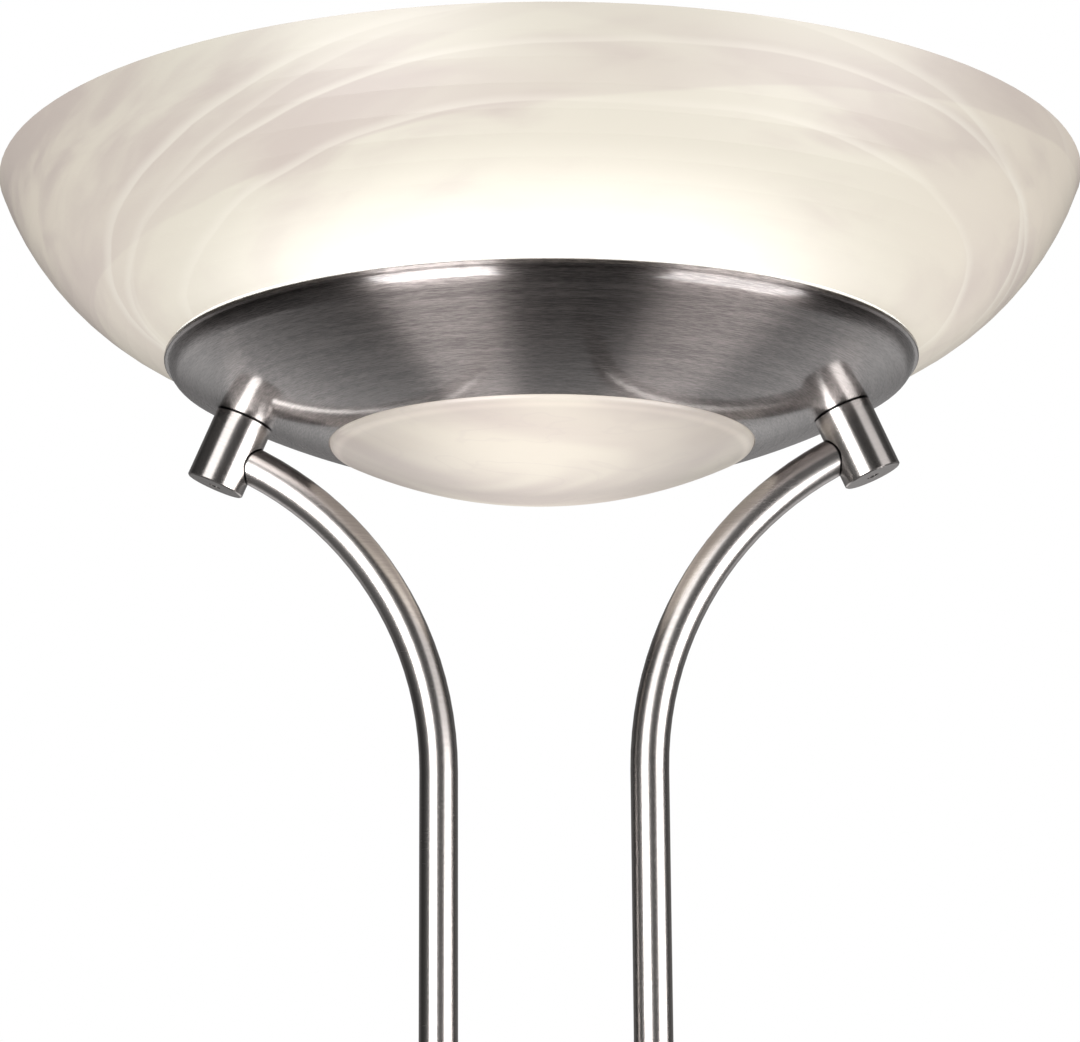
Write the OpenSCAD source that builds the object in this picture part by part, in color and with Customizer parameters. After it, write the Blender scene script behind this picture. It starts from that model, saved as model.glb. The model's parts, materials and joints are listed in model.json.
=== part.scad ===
// Torchiere floor lamp with two poles: a glass bowl on a spun metal dish, lit from inside,
// with a round glass lens in the bottom of the dish. Millimetres, +Z up, front towards -Y.
// The origin is on the floor, at the centre of the base.

/* [Overall] */
// Height from the floor to the rim of the glass bowl
total_h = 1829; // [1700:1:1900]
// Radius of the round base
base_r = 150; // [148:1:165]
// Distance between the centre lines of the two poles
pole_gap = 87; // [86:0.5:90]

/* [Glass bowl] */
// Outer radius of the bowl at its rim
bowl_rim_r = 228; // [227.5:0.1:229]
// Height of the bowl's rim above the plane of the lens hole
bowl_rise = 105.8; // [105.8:0.1:108]
// Radius of the bowl's rounded side
bowl_curve_r = 120; // [118:1:121]
// Steepness of the bowl's side at the rim, in degrees from flat
bowl_rim_angle = 69; // [68:0.5:70]
// Thickness of the glass
bowl_t = 4; // [3:0.5:5]

/* [Dish] */
// Radius of the sphere that the dish's wall follows
dish_curve_r = 320; // [318:1:322]
// Outer radius of the dish below its hem
dish_rim_r = 157; // [156.5:0.1:157.5]
// Radius of the bend between the wall and the rim
dish_corner_r = 8; // [7:0.5:8.5]
// Height of the dish's rim above the plane of the lens hole
dish_h = 34.3; // [34:0.1:34.5]
// Radius of the lens hole
dish_hole_r = 89.7; // [89:0.1:90.5]
// Thickness of the sheet metal
dish_t = 1.2; // [1:0.1:1.3]

/* [Lens] */
// Depth of the lens below the plane of its hole
lens_depth = 22; // [18:0.5:24]
// Radius of the lens's curve
lens_curve_r = 205; // [200:1:215]
// Thickness of the lens
lens_t = 4; // [3:0.5:4]

/* [Knuckles] */
// Radius of the turned knuckles
knuckle_r = 12.4; // [12:0.1:13]
// Length of a knuckle from the dish to its end face
knuckle_l = 31; // [30:0.5:33]
// Distance of a knuckle's foot from the lamp's centre line
knuckle_foot_r = 126.3; // [125.5:0.1:127]
// Distance from a knuckle's end face to the pole's centre line
knuckle_cross = 14.5; // [14.3:0.1:15]
// Tilt of a pole's end from square to its knuckle, in degrees
pole_tilt = 2.2; // [0:0.1:2.5]

/* [Poles] */
// Outer diameter of the pole tubes
tube_d = 16; // [15.8:0.1:16]
// Wall of the pole tubes
tube_wall = 1; // [0.8:0.1:1]
// Height of the joint between the lower and middle tubes
lower_joint_h = 612; // [500:1:700]
// Height of the joint between the middle and upper tubes
upper_joint_h = 1200; // [1150:1:1300]
// Height of the dimmer on the poles
dimmer_h = 1060; // [900:1:1100]

/* [Hidden] */

// Faces drawn for a round surface
$fn = 96;
// Overlap that lets cuts run clear through a surface
cut = 1;
// Room between two pieces that move against each other
move_gap = 0.3;
// Room round a piece that sits in another
seat_gap = 0.05;
// Room between two flat faces that lie on each other
face_gap = 0.02;
// Points along each rounded stretch of an outline
arc_steps = 16;

// Places of the head, measured up from the floor
lens_plane_z = total_h - bowl_rise;
dish_centre_h = sqrt(dish_curve_r ^ 2 - dish_hole_r ^ 2);
dish_inner_r = dish_curve_r - dish_t;

// Centre of the bowl's rounded side
bowl_centre_r = bowl_rim_r - bowl_curve_r * sin(bowl_rim_angle);
bowl_centre_h = bowl_rise + bowl_curve_r * cos(bowl_rim_angle);
bowl_mouth_r = bowl_centre_r - 4;

// Dish rim: a folded hem on a short upright wall
hem_t = 1.6;
hem_h = 2.1;
hem_edge = 0.4;

// Flange of the lens, which lies on the dish's inner wall round the hole
lens_flange_r = dish_hole_r + 5.3;

// Spring clips on the lamp frame that hold the lens flange down
clip_t = 0.8;
clip_w = 10;
clip_turns = [30, 150, 270];
clip_screw_at_r = 103;

// Lamp frame, a stamped ring inside the dish
frame_t = 1.5;
frame_in_r = 97;
frame_out_r = 111.5;
frame_h = inner_wall_h(frame_out_r) + seat_gap;
ear_w = 22;
ear_out = 14;
ear_in = 18;
post_r = 98.5;
post_w = 40;
arm_h = 30;
arm_w = 24;
arm_end = 46;

// Halogen lamp and its holders
lamp_h = 48;
lamp_tube_r = 5;
lamp_tube_half = 46.5;
lamp_cap_r = 3.6;
lamp_half = 57;
holder_in = 48;
holder_out = 70;
holder_w = 16;
holder_top_h = 55;
holder_slot_r = 4.2;
holder_back = 58.5;
contact_r = 2;
wire_rise_x = 62;
contact_l = 6;
holder_screw_places = [[53, -5], [67.2, 5]];
holder_screw_l = 9;

// Thermal cut-out on the frame's ring
cutout_at_r = 104;
cutout_screw_x = 9;
cutout_tab_t = 1;

// Small screws: M3 in the head, M4 set screws on the poles
m3_r = 1.5;
m3_l = 3.6;
m3_head_r = 2.8;
m3_head_h = 1.8;
m4_r = 2;

// Wire guard over the lamp
guard_wire_r = 1;
guard_y = 24;
guard_h = 34.5;
guard_leg = 5.5;
guard_half = 56;
guard_pin_end = 63.5;
guard_lug_x = 60;
guard_lug_t = 1.5;
guard_lug_hole_r = guard_wire_r + 0.08;
guard_hoops = [-50, -25, 0, 25, 50];

// Knuckle direction: square to the dish's wall
lean = asin(knuckle_foot_r / dish_curve_r);
knuckle_end = dish_curve_r + knuckle_l;
cross_d = knuckle_end - knuckle_cross;
tube_past_cross = 6;
side_bore_r = tube_d / 2 + 0.25;
nipple_r = 5;
nipple_bore_r = 3.5;
nipple_in = dish_inner_r - 6.8;
nipple_out = dish_curve_r + 7.9;
nipple_hole_gap = 0.1;
nipple_washer_r = 8;
ear_d = dish_inner_r - 0.25;
washer_t = 0.8;
washer_d = ear_d - frame_t;
locknut_t = 3;
locknut_d = washer_d - washer_t;
locknut_flats = 14;
knuckle_screw_r = 2.5;
knuckle_screw_l = 5;

// Pole path: upright, one bend outwards, then a short straight end in the knuckle
tube_r = tube_d / 2;
tube_in_r = tube_r - tube_wall;
pole_x = pole_gap / 2;
pole_foot_z = 30;
bend_stub = 6;
bend_angle = 90 - lean - pole_tilt;
bend_r = (cross_d * sin(lean) - bend_stub * sin(bend_angle) - pole_x) / (1 - cos(bend_angle));
bend_start_z = lens_plane_z + dish_centre_h - cross_d * cos(lean)
    - bend_stub * cos(bend_angle) - bend_r * sin(bend_angle);

// Couplers between the tubes
collar_h = 6;
collar_r = tube_r + 0.6;
spigot_l = 22;
coupler_bore_r = 4;

// Wires
wire_r = 1.5;
wire_bend_r = 5;
wire_cross_bend_r = bend_stub;
wire_cross_turn = bend_angle + lean;
wire_cross_in = wire_cross_bend_r * tan(wire_cross_turn / 2);
wire_in_d = nipple_in - 2.5;

// Dimmer housing, cover, module and knob
housing_h = 60;
housing_r = 13;
pocket_w = 44;
pocket_h = 36;
pocket_front = -10;
cover_w = 58;
cover_h = 50;
cover_t = 2;
cover_screw_x = 25.5;
cover_screw_z = 21.5;
cover_screw_r = 1.25;
cover_screw_l = 8;
cover_screw_head_r = 2.3;
cover_screw_head_h = 1.3;
module_w = 36;
module_h = 30;
module_back = 6;
neck_r = 4.5;
neck_tip = -19;
neck_gap = 0.1;
shaft_r = 3;
shaft_in = -8.5;
shaft_gap = 0.05;
dimmer_nut_flats = 12;
dimmer_nut_t = 2.5;
dimmer_washer_r = 7;
dimmer_washer_t = 0.6;
knob_r = 15;
knob_back = -housing_r - 0.4;
knob_front = -33.5;
knob_face_t = 2;
knob_flutes = 18;
knob_hollow_r = 9.5;
flute_r = 1.4;
dimple_r = 1.3;
pole_wire_hole_r = 4;

// Base
base_top_h = 26;
base_skirt_h = 15;
base_corner_r = 6;
base_t = 1.2;
base_rise_angle = 87;
base_flat_r = 40;
base_gap_h = 1.6;
felt_t = 2;
felt_r = base_r - 5;
plate_t = 1.2;
plate_r = base_r - 3;
weight_r = base_r - 12;
weight_z = felt_t + plate_t;
socket_r = 17;
socket_top_z = 38;
socket_stem_r = 6;
socket_bore_r = 4;
stem_z = 10.4;
socket_nut_z = 11;
socket_nut_t = 4;
socket_nut_flats = 18;
nut_pocket_r = 13;
nut_pocket_z = 15.8;
channel_w = 10;
channel_z = 8;
plate_screw_turns = [30, 150, 270];
plate_screw_ring_r = 110;
plate_screw_r = 2;
plate_screw_l = 10;
plate_screw_head_r = 4.2;
plate_screw_head_h = 1.3;
stem_gap = 0.2;
set_screw_z = (pole_foot_z + socket_top_z) / 2;
cord_r = 3.6;
cord_z = 8.5;
bushing_flange_r = 6.2;
bushing_flange_t = 2.2;
bushing_neck_r = 4.95;
cover_cord_hole_r = 5;

// Colours
glass_colour = "wheat";
metal_colour = "silver";
dark_metal_colour = "dimgray";
zinc_colour = "lightsteelblue";
plastic_colour = "darkslategray";
ceramic_colour = "ivory";
brass_colour = "goldenrod";

// ---- Functions ----

// Height of the dish's inner wall above the lens plane, at a radius
function inner_wall_h(r) = dish_centre_h - sqrt(dish_inner_r ^ 2 - r ^ 2);

// Points of an arc, as [radius, height] pairs
function arc(centre, r, from, to) = [
    for (i = [0 : arc_steps])
        let (a = from + (to - from) * i / arc_steps)
        centre + r * [cos(a), sin(a)]
];

// Corner radius of a hexagon with the given width across its flats
function hex_r(flats) = flats / sqrt(3);

// Outline of the base cover, moved inwards by a distance and cut off at a height
function base_outline(inset, foot) = concat(
    [[0, base_top_h - inset], [base_flat_r, base_top_h - inset]],
    arc([base_r - base_corner_r, base_skirt_h], base_corner_r - inset, base_rise_angle, 0),
    [[base_r - inset, foot], [0, foot]]
);

// ---- Placing ----

module in_head() {
    translate([0, 0, lens_plane_z])
        children();
}

// Right side for +1, left side for -1
module on_side(side) {
    mirror([side < 0 ? 1 : 0, 0, 0])
        children();
}

// Frame of a knuckle: +Z points out of the dish, square to its wall, and counts from
// the centre of the dish's sphere. +X points back down the pole.
module on_wall(side) {
    on_side(side)
        translate([0, 0, lens_plane_z + dish_centre_h])
            rotate([0, 180 - lean, 0])
                children();
}

// Lays a cylinder that is drawn along +Z along +Y instead
module along_y() {
    rotate([-90, 0, 0])
        children();
}

module along_x() {
    rotate([0, 90, 0])
        children();
}

// ---- Shared shapes ----

module pipe(outer, inner, height) {
    linear_extrude(height = height)
        difference() {
            circle(outer);
            circle(inner);
        }
}

// Bend in the XZ plane that starts along +Z and turns towards +X
module elbow(bend, angle, r) {
    translate([bend, 0, 0])
        rotate([90, 0, 180])
            rotate_extrude(angle = angle)
                translate([bend, 0])
                    circle(r);
}

// Round rod in the XZ plane. Each step is [straight length, turn, bend radius], and a turn
// is in degrees towards +X. Each step laps into the one before and is a hair thinner.
module run(steps, r, i = 0) {
    lap = i > 0 ? 0.3 : 0;
    hair = 0.05;
    if (i < len(steps)) {
        straight = steps[i][0];
        turn = steps[i][1];
        bend = steps[i][2];
        way = turn < 0 ? -1 : 1;
        swing = abs(turn);
        translate([0, 0, -lap])
            cylinder(h = straight + lap, r = r);
        translate([0, 0, straight]) {
            if (swing > 0)
                rotate([0, 0, way < 0 ? 180 : 0])
                    elbow(bend, swing, r);
            translate([way * bend * (1 - cos(swing)), 0, bend * sin(swing)])
                rotate([0, turn, 0])
                    run(steps, r - hair, i + 1);
        }
    }
}

module hex_nut(flats, bore_r, height) {
    difference() {
        cylinder(h = height, r = hex_r(flats), $fn = 6);
        translate([0, 0, -cut])
            cylinder(h = height + 2 * cut, r = bore_r);
    }
}

module washer(outer, bore_r, height) {
    difference() {
        cylinder(h = height, r = outer);
        translate([0, 0, -cut])
            cylinder(h = height + 2 * cut, r = bore_r);
    }
}

// Screw that points down from z = 0, with a cross-slotted round head above it
module pan_screw(shank_r, length, head_r, head_h) {
    slot_w = head_r / 3;
    slot_l = head_r * 1.3;
    difference() {
        union() {
            translate([0, 0, -length])
                cylinder(h = length, r = shank_r);
            cylinder(h = head_h, r = head_r);
        }
        for (turn = [0, 90])
            rotate([0, 0, turn])
                translate([-slot_l / 2, -slot_w / 2, head_h / 2])
                    cube([slot_l, slot_w, head_h]);
    }
}

// Headless screw that points down from z = 0, with a hexagon socket
module grub_screw(shank_r, length) {
    difference() {
        translate([0, 0, -length])
            cylinder(h = length, r = shank_r);
        translate([0, 0, -length / 2])
            cylinder(h = length, r = shank_r * 0.6, $fn = 6);
    }
}

// ---- Head: glass, dish and lens ----

module glass_bowl() {
    centre = [bowl_centre_r, bowl_centre_h];
    inner_r = bowl_curve_r - bowl_t;
    mouth_angle = -acos((bowl_mouth_r - bowl_centre_r) / bowl_curve_r);
    inner_rim_angle = -asin((bowl_centre_h - bowl_rise) / inner_r);
    outer = arc(centre, bowl_curve_r, mouth_angle, bowl_rim_angle - 90);
    inner = arc(centre, inner_r, inner_rim_angle, mouth_angle);
    color(glass_colour, 0.8)
        in_head()
            rotate_extrude($fn = 180)
                polygon(concat(outer, inner));
}

// Silicone ring behind the hem, cut to the bowl's side
module bowl_gasket() {
    gasket_out_r = dish_rim_r + 0.2;
    gasket_w = 1.9;
    color(ceramic_colour)
        in_head()
            rotate_extrude($fn = 180)
                difference() {
                    translate([gasket_out_r - gasket_w, dish_h - hem_h])
                        square([gasket_w, hem_h * 2]);
                    translate([gasket_out_r - gasket_w - cut, dish_h - hem_h - cut])
                        square([gasket_w + 2 * cut, hem_h + cut]);
                    translate([bowl_centre_r, bowl_centre_h])
                        circle(bowl_curve_r + move_gap, $fn = 360);
                }
}

module dish_profile() {
    corner_centre_r = dish_rim_r - dish_corner_r;
    corner_lean = asin(corner_centre_r / (dish_curve_r - dish_corner_r));
    corner_h = dish_centre_h - (dish_curve_r - dish_corner_r) * cos(corner_lean);
    hole_lean = asin(dish_hole_r / dish_curve_r);
    outer_wall = arc([0, dish_centre_h], dish_curve_r, hole_lean - 90, corner_lean - 90);
    outer_corner = arc([corner_centre_r, corner_h], dish_corner_r, corner_lean - 90, 0);
    inner_corner = arc([corner_centre_r, corner_h], dish_corner_r - dish_t, 0, corner_lean - 90);
    inner_wall = arc([0, dish_centre_h], dish_inner_r, corner_lean - 90, hole_lean - 90);
    polygon(concat(
        outer_wall,
        outer_corner,
        [
            [dish_rim_r, dish_h - hem_h],
            [dish_rim_r + hem_t - hem_edge, dish_h - hem_h],
            [dish_rim_r + hem_t, dish_h - hem_h + hem_edge],
            [dish_rim_r + hem_t, dish_h - hem_edge],
            [dish_rim_r + hem_t - hem_edge, dish_h],
            [dish_rim_r - dish_t, dish_h]
        ],
        inner_corner,
        inner_wall
    ));
}

module dish() {
    color(metal_colour)
        difference() {
            in_head()
                rotate_extrude($fn = 180)
                    dish_profile();
            for (side = [-1, 1])
                on_wall(side)
                    translate([0, 0, dish_inner_r - 2 * cut])
                        cylinder(h = dish_t + 4 * cut, r = nipple_r + nipple_hole_gap);
        }
}

module lens_glass() {
    body_r = dish_hole_r - 0.5;
    flange_h = inner_wall_h(lens_flange_r) + seat_gap;
    shoulder_r = 3;
    centre_h = lens_curve_r - lens_depth;
    shoulder_lean = asin((body_r - shoulder_r) / (lens_curve_r - shoulder_r));
    shoulder_h = centre_h - (lens_curve_r - shoulder_r) * cos(shoulder_lean);
    top_h = flange_h + lens_t;
    inner_r = lens_curve_r - lens_t;
    inner_edge_r = body_r - lens_t - 1;
    inner_lean = asin(inner_edge_r / inner_r);
    color(glass_colour, 0.8)
        in_head()
            rotate_extrude($fn = 180)
                polygon(concat(
                    arc([0, centre_h], lens_curve_r, -90, shoulder_lean - 90),
                    arc([body_r - shoulder_r, shoulder_h], shoulder_r, shoulder_lean - 90, 0),
                    [
                        [body_r, flange_h],
                        [lens_flange_r, flange_h],
                        [lens_flange_r, top_h],
                        [inner_edge_r, top_h]
                    ],
                    arc([0, centre_h], inner_r, inner_lean - 90, -90)
                ));
}

module lens_clips() {
    flange_top_h = inner_wall_h(lens_flange_r) + 2 * seat_gap + lens_t;
    frame_top_h = frame_h + frame_t;
    step_r = frame_in_r - 0.4;
    foot_r = frame_out_r - 3;
    tip_r = 90;
    color(dark_metal_colour)
        in_head()
            for (turn = clip_turns)
                rotate([0, 0, turn])
                    difference() {
                        rotate([90, 0, 0])
                            translate([0, 0, -clip_w / 2])
                                linear_extrude(height = clip_w)
                                    polygon([
                                        [tip_r, flange_top_h],
                                        [step_r, flange_top_h],
                                        [step_r, frame_top_h],
                                        [foot_r, frame_top_h],
                                        [foot_r, frame_top_h + clip_t],
                                        [step_r - clip_t, frame_top_h + clip_t],
                                        [step_r - clip_t, flange_top_h + clip_t],
                                        [tip_r, flange_top_h + clip_t]
                                    ]);
                        translate([clip_screw_at_r, 0, frame_h])
                            cylinder(h = 5 * clip_t, r = m3_r + seat_gap);
                    }
}

module lens_clip_screws() {
    color(metal_colour)
        in_head()
            for (turn = clip_turns)
                rotate([0, 0, turn])
                    translate([clip_screw_at_r, 0, frame_h + frame_t + clip_t])
                        pan_screw(m3_r, m3_l, m3_head_r, m3_head_h);
}

// ---- Head: lamp frame, holders, lamp and guard ----

module frame_ring() {
    translate([0, 0, frame_h])
        difference() {
            cylinder(h = frame_t, r = frame_out_r);
            translate([0, 0, -cut])
                cylinder(h = frame_t + 2 * cut, r = frame_in_r);
            for (turn = clip_turns)
                rotate([0, 0, turn])
                    translate([clip_screw_at_r, 0, -cut])
                        cylinder(h = frame_t + 2 * cut, r = m3_r + seat_gap);
            for (offset_x = [-cutout_screw_x, cutout_screw_x])
                translate([offset_x, cutout_at_r, -cut])
                    cylinder(h = frame_t + 2 * cut, r = m3_r + seat_gap);
        }
}

// Upright post with a window for the wire, and an arm that carries a lamp holder
module frame_post() {
    window_w = 16;
    window_h = 14;
    difference() {
        translate([post_r - frame_t, -post_w / 2, frame_h])
            cube([frame_t, post_w, arm_h + frame_t - frame_h]);
        translate([post_r - 2 * frame_t, -window_w / 2, arm_h - window_h - 2])
            cube([3 * frame_t, window_w, window_h]);
    }
    difference() {
        translate([arm_end, -arm_w / 2, arm_h])
            cube([post_r - arm_end, arm_w, frame_t]);
        translate([wire_rise_x, 0, arm_h - cut])
            cylinder(h = frame_t + 2 * cut, r = wire_r + 1);
        for (place = holder_screw_places)
            translate([place[0], place[1], arm_h - cut])
                cylinder(h = frame_t + 2 * cut, r = m3_r + seat_gap);
    }
    guard_lug();
    guard_rest();
}

// Upright lug that the guard's hinge wire turns in
module guard_lug() {
    lug_w = 8;
    lug_top_h = guard_h + 4;
    translate([guard_lug_x, -guard_y - lug_w / 2, arm_h])
        cube([lug_w, guard_y + lug_w / 2 - arm_w / 2 + cut, frame_t]);
    difference() {
        translate([guard_lug_x, -guard_y - lug_w / 2, arm_h])
            cube([guard_lug_t, lug_w, lug_top_h - arm_h]);
        translate([guard_lug_x - cut, -guard_y, guard_h])
            along_x()
                cylinder(h = guard_lug_t + 2 * cut, r = guard_lug_hole_r);
    }
}

// Tab that the guard's free side rests on
module guard_rest() {
    rest_w = 6;
    rest_x = 52;
    rest_top_h = guard_h - guard_wire_r - move_gap;
    translate([rest_x, arm_w / 2 - cut, arm_h])
        cube([rest_w, guard_y - arm_w / 2 + cut + rest_w / 2, frame_t]);
    translate([rest_x, guard_y - guard_lug_t / 2, arm_h])
        cube([rest_w, guard_lug_t, rest_top_h - arm_h]);
}

module lamp_frame() {
    color(metal_colour)
        difference() {
            union() {
                intersection() {
                    union() {
                        in_head()
                            frame_ring();
                        for (side = [-1, 1])
                            on_wall(side)
                                translate([-ear_out, -ear_w / 2, ear_d - frame_t])
                                    cube([ear_out + ear_in, ear_w, frame_t]);
                    }
                    translate([0, 0, lens_plane_z + dish_centre_h])
                        sphere(dish_inner_r - seat_gap);
                }
                in_head()
                    for (side = [-1, 1])
                        on_side(side)
                            frame_post();
            }
            for (side = [-1, 1])
                on_wall(side)
                    translate([0, 0, ear_d - frame_t - cut])
                        cylinder(h = frame_t + 2 * cut, r = nipple_r + nipple_hole_gap);
        }
}

// Ceramic holder, open at the top and towards the lamp
module lampholder(side) {
    color(ceramic_colour)
        in_head()
            on_side(side)
                difference() {
                    translate([holder_in, -holder_w / 2, arm_h + frame_t])
                        cube([holder_out - holder_in, holder_w, holder_top_h - arm_h - frame_t]);
                    translate([holder_in - cut, 0, lamp_h])
                        along_x()
                            cylinder(h = holder_back - holder_in + cut, r = holder_slot_r);
                    translate([holder_in - cut, -holder_slot_r, lamp_h])
                        cube([holder_back - holder_in + cut, 2 * holder_slot_r, holder_top_h]);
                    translate([holder_back - cut, 0, lamp_h])
                        along_x()
                            cylinder(h = contact_l + cut, r = contact_r + seat_gap);
                    translate([wire_rise_x, 0, arm_h])
                        cylinder(h = lamp_h - arm_h - contact_l, r = wire_r + 0.2);
                    for (place = holder_screw_places)
                        translate([place[0], place[1], arm_h])
                            cylinder(h = holder_screw_l + cut, r = m3_r + seat_gap);
                }
}

module lampholder_left() {
    lampholder(-1);
}

module lampholder_right() {
    lampholder(1);
}

module holder_screws() {
    color(metal_colour)
        in_head()
            for (side = [-1, 1])
                on_side(side)
                    for (place = holder_screw_places)
                        translate([place[0], place[1], arm_h])
                            rotate([180, 0, 0])
                                pan_screw(m3_r, holder_screw_l, m3_head_r, m3_head_h);
}

// Spring contacts that press on the lamp's ends
module holder_contacts() {
    color(brass_colour)
        in_head()
            for (side = [-1, 1])
                on_side(side)
                    translate([lamp_half + seat_gap, 0, lamp_h])
                        along_x()
                            cylinder(h = contact_l, r = contact_r);
}

// Quartz tube with a hollow middle and solid pinched ends
module lamp_tube() {
    pinch_l = 9;
    pinch_half_t = 2;
    wall = 1;
    color(glass_colour, 0.5)
        in_head()
            translate([0, 0, lamp_h])
                difference() {
                    translate([-lamp_tube_half, 0, 0])
                        along_x()
                            cylinder(h = 2 * lamp_tube_half, r = lamp_tube_r);
                    translate([-lamp_tube_half + pinch_l, 0, 0])
                        along_x()
                            cylinder(h = 2 * (lamp_tube_half - pinch_l), r = lamp_tube_r - wall);
                    for (end = [-1, 1])
                        for (face = [-1, 1])
                            translate([
                                end * (lamp_tube_half - pinch_l / 2 + cut / 2),
                                face * (pinch_half_t + lamp_tube_r / 2),
                                0
                            ])
                                cube([pinch_l + cut, lamp_tube_r, 2 * lamp_tube_r + cut], center = true);
                }
}

module lamp_caps() {
    color(ceramic_colour)
        in_head()
            for (side = [-1, 1])
                on_side(side)
                    translate([lamp_tube_half + seat_gap, 0, lamp_h])
                        along_x()
                            cylinder(h = lamp_half - lamp_tube_half - seat_gap, r = lamp_cap_r);
}

module lamp_filament() {
    filament_r = 0.8;
    filament_half = 34;
    color(brass_colour)
        in_head()
            translate([-filament_half, 0, lamp_h])
                along_x()
                    cylinder(h = 2 * filament_half, r = filament_r);
}

// Hinged guard: two rails, hoops over the lamp and three bars along them
module wire_guard() {
    bar_offset = guard_y + 1.8 * guard_wire_r;
    arch_h = guard_h + guard_leg;
    color(metal_colour)
        in_head() {
            translate([-guard_pin_end, -guard_y, guard_h])
                along_x()
                    cylinder(h = 2 * guard_pin_end, r = guard_wire_r, $fn = 24);
            translate([-guard_half, guard_y, guard_h])
                along_x()
                    cylinder(h = 2 * guard_half, r = guard_wire_r, $fn = 24);
            for (x = guard_hoops)
                translate([x, 0, 0]) {
                    for (way = [-1, 1])
                        translate([0, way * guard_y, guard_h])
                            cylinder(h = guard_leg, r = guard_wire_r, $fn = 24);
                    translate([0, 0, arch_h])
                        rotate([90, 0, 90])
                            rotate_extrude(angle = 180)
                                translate([guard_y, 0])
                                    circle(guard_wire_r, $fn = 24);
                }
            for (swing = [45, 90, 135])
                translate([-guard_half, bar_offset * cos(swing), arch_h + bar_offset * sin(swing)])
                    along_x()
                        cylinder(h = 2 * guard_half, r = guard_wire_r, $fn = 24);
        }
}

module thermal_cutout() {
    body_w = 12;
    body_d = 9;
    body_h = 6;
    tab_w = 26;
    tab_d = 6;
    color(ceramic_colour)
        in_head()
            translate([0, cutout_at_r, frame_h + frame_t])
                difference() {
                    union() {
                        translate([-body_w / 2, -body_d / 2, 0])
                            cube([body_w, body_d, body_h]);
                        translate([-tab_w / 2, -tab_d / 2, 0])
                            cube([tab_w, tab_d, cutout_tab_t]);
                    }
                    for (offset_x = [-cutout_screw_x, cutout_screw_x])
                        translate([offset_x, 0, -cut])
                            cylinder(h = 4 * cut, r = m3_r + seat_gap);
                }
}

module cutout_screws() {
    color(metal_colour)
        in_head()
            for (offset_x = [-cutout_screw_x, cutout_screw_x])
                translate([offset_x, cutout_at_r, frame_h + frame_t + cutout_tab_t])
                    pan_screw(m3_r, m3_l, m3_head_r, m3_head_h);
}

// ---- Head: knuckles and what ties them to the dish ----

module nipple(side) {
    color(zinc_colour)
        on_wall(side)
            translate([0, 0, nipple_in])
                pipe(nipple_r, nipple_bore_r, nipple_out - nipple_in);
}

module nipple_left() {
    nipple(-1);
}

module nipple_right() {
    nipple(1);
}

module nipple_washers() {
    color(zinc_colour)
        for (side = [-1, 1])
            on_wall(side)
                translate([0, 0, washer_d - washer_t])
                    washer(nipple_washer_r, nipple_r + nipple_hole_gap, washer_t);
}

module nipple_locknuts() {
    color(zinc_colour)
        for (side = [-1, 1])
            on_wall(side)
                translate([0, 0, locknut_d - locknut_t])
                    hex_nut(locknut_flats, nipple_r + seat_gap, locknut_t);
}

// Turned knuckle: side bore for the pole, a threaded hole for the nipple on the dish's
// side and a threaded hole for the set screw in the end face
module knuckle(side) {
    edge = 0.5;
    color(metal_colour)
        on_wall(side)
            difference() {
                union() {
                    translate([0, 0, dish_curve_r + face_gap])
                        cylinder(h = knuckle_l - edge - face_gap, r = knuckle_r);
                    translate([0, 0, knuckle_end - edge])
                        cylinder(h = edge, r1 = knuckle_r, r2 = knuckle_r - edge);
                }
                translate([0, 0, cross_d])
                    rotate([0, -pole_tilt, 0])
                        translate([-tube_past_cross - cut, 0, 0])
                            along_x()
                                cylinder(h = 2 * knuckle_r, r = side_bore_r);
                translate([0, 0, dish_curve_r - cut])
                    cylinder(h = knuckle_l - knuckle_cross, r = nipple_r + seat_gap);
                translate([0, 0, cross_d])
                    cylinder(h = knuckle_cross + cut, r = knuckle_screw_r + seat_gap);
            }
}

module knuckle_left() {
    knuckle(-1);
}

module knuckle_right() {
    knuckle(1);
}

module knuckle_set_screws() {
    recess = 0.6;
    color(dark_metal_colour)
        for (side = [-1, 1])
            on_wall(side)
                translate([0, 0, knuckle_end - recess])
                    grub_screw(knuckle_screw_r, knuckle_screw_l);
}

// ---- Poles ----

// Rod along the upper tube's centre line, made longer at both ends
module upper_rod(r, longer) {
    foot = upper_joint_h + collar_h - longer;
    translate([pole_x, 0, foot])
        run(
            [
                [bend_start_z - foot, bend_angle, bend_r],
                [bend_stub + tube_past_cross + longer, 0, 0]
            ],
            r
        );
}

module upper_tube(side) {
    color(metal_colour)
        difference() {
            on_side(side)
                upper_rod(tube_r, 0);
            on_side(side)
                upper_rod(tube_in_r, cut);
            on_wall(side)
                translate([0, 0, cross_d - 2 * tube_r])
                    cylinder(h = 2 * tube_r, r = nipple_bore_r);
        }
}

module upper_tube_left() {
    upper_tube(-1);
}

module upper_tube_right() {
    upper_tube(1);
}

// Middle tube, with a hole at the dimmer for the leads
module middle_tube(side) {
    foot = lower_joint_h + collar_h;
    color(metal_colour)
        on_side(side)
            translate([pole_x, 0, 0])
                difference() {
                    translate([0, 0, foot])
                        pipe(tube_r, tube_in_r, upper_joint_h - foot);
                    translate([0, 0, dimmer_h])
                        rotate([0, -90, 0])
                            cylinder(h = tube_d, r = pole_wire_hole_r);
                }
}

module middle_tube_left() {
    middle_tube(-1);
}

module middle_tube_right() {
    middle_tube(1);
}

module lower_tube(side) {
    color(metal_colour)
        on_side(side)
            translate([pole_x, 0, pole_foot_z])
                pipe(tube_r, tube_in_r, lower_joint_h - pole_foot_z);
}

module lower_tube_left() {
    lower_tube(-1);
}

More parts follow.
